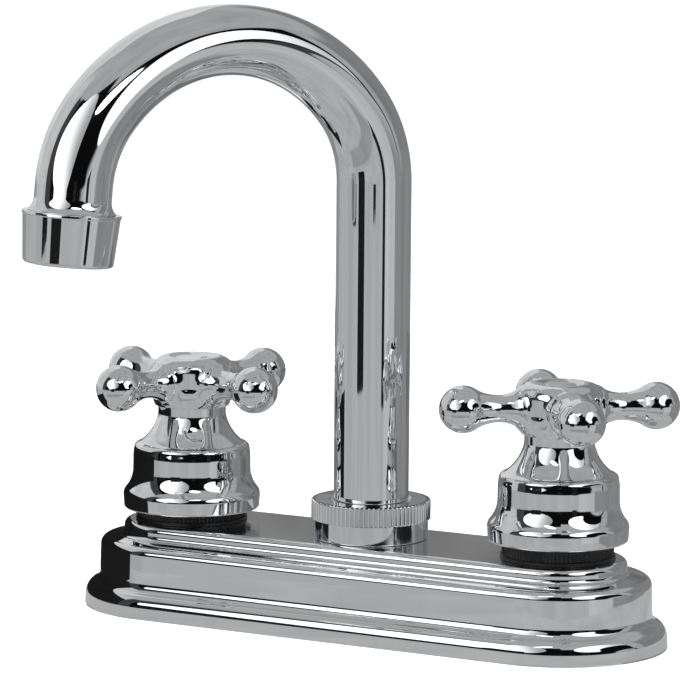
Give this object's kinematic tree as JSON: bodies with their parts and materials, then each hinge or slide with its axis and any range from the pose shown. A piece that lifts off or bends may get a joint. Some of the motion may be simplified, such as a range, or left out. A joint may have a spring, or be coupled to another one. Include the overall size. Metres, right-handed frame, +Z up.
{
  "type": "mixer tap",
  "caption": "Deck-mounted two-handle mixer tap with cross handles, a swivelling gooseneck spout and a tiered oblong deck cover.",
  "frame": {"origin": "middle of the tap on the deck: the centre of the gasket's lower face, halfway between the two valve axes", "axes": "+Z up along the spout's post, +X towards the cold handle on the right, -Y towards the user"},
  "size_m": [0.1563, 0.1082, 0.1986],
  "materials": {
    "chrome": "bright polished plating",
    "chrome_plastic": "plated plastic",
    "brass": "as machined",
    "steel": "zinc plated",
    "black_plastic": "fine moulded",
    "grey_plastic": "moulded",
    "nylon": "natural moulded",
    "fibre": "red fibre",
    "rubber": "moulded",
    "foam_rubber": "soft sheet"
  },
  "bodies": {
    "base": {"deck_cover": "chrome", "deck_gasket": "foam_rubber", "waterway": "brass", "spout_bushing": "nylon", "spout_nut": "chrome", "hot_shank": "brass", "hot_shank_washer": "steel", "hot_mounting_nut": "grey_plastic", "hot_valve_seat": "brass", "hot_bonnet": "brass", "hot_bonnet_washer": "fibre", "hot_lock_ring": "black_plastic", "cold_shank": "brass", "cold_shank_washer": "steel", "cold_mounting_nut": "grey_plastic", "cold_valve_seat": "brass", "cold_bonnet": "brass", "cold_bonnet_washer": "fibre", "cold_lock_ring": "black_plastic"},
    "hot_lift": {"hot_washer_holder": "brass", "hot_seat_washer": "rubber", "hot_washer_screw": "brass"},
    "cold_lift": {"cold_washer_holder": "brass", "cold_seat_washer": "rubber", "cold_washer_screw": "brass"},
    "hot_turn": {"hot_handle": "chrome", "hot_stem": "brass", "hot_stem_o_ring": "rubber", "hot_handle_screw": "steel", "hot_index_button": "chrome_plastic"},
    "cold_turn": {"cold_handle": "chrome", "cold_stem": "brass", "cold_stem_o_ring": "rubber", "cold_handle_screw": "steel", "cold_index_button": "chrome_plastic"},
    "spout": {"spout_tube": "chrome", "spout_fitting": "brass", "spout_o_ring_lower": "rubber", "spout_o_ring_upper": "rubber", "aerator_housing": "chrome", "aerator_insert": "nylon", "aerator_washer": "rubber"}
  },
  "joints": [
    {"name": "hot_lift_slide", "type": "slide", "parent": "base", "child": "hot_lift", "axis": [0, 0, 1], "range_m": [0, 0.00381]},
    {"name": "hot_handle_turn", "type": "hinge", "parent": "hot_lift", "child": "hot_turn", "pos_m": [-0.0508, 0, 0], "axis": [0, 0, 1], "range_deg": [0, 540]},
    {"name": "cold_lift_slide", "type": "slide", "parent": "base", "child": "cold_lift", "axis": [0, 0, 1], "range_m": [-0.00127, 0.00254]},
    {"name": "cold_handle_turn", "type": "hinge", "parent": "cold_lift", "child": "cold_turn", "pos_m": [0.0508, 0, 0], "axis": [0, 0, 1], "range_deg": [-180, 360]},
    {"name": "spout_swivel", "type": "hinge", "parent": "base", "child": "spout", "pos_m": [0, 0, 0], "axis": [0, 0, 1], "continuous": true}
  ],
  "couplings": [
    {"joint": "hot_handle_turn", "follows": "hot_lift_slide", "rad_per_m": 2473.7},
    {"joint": "cold_handle_turn", "follows": "cold_lift_slide", "rad_per_m": 2473.7}
  ]
}
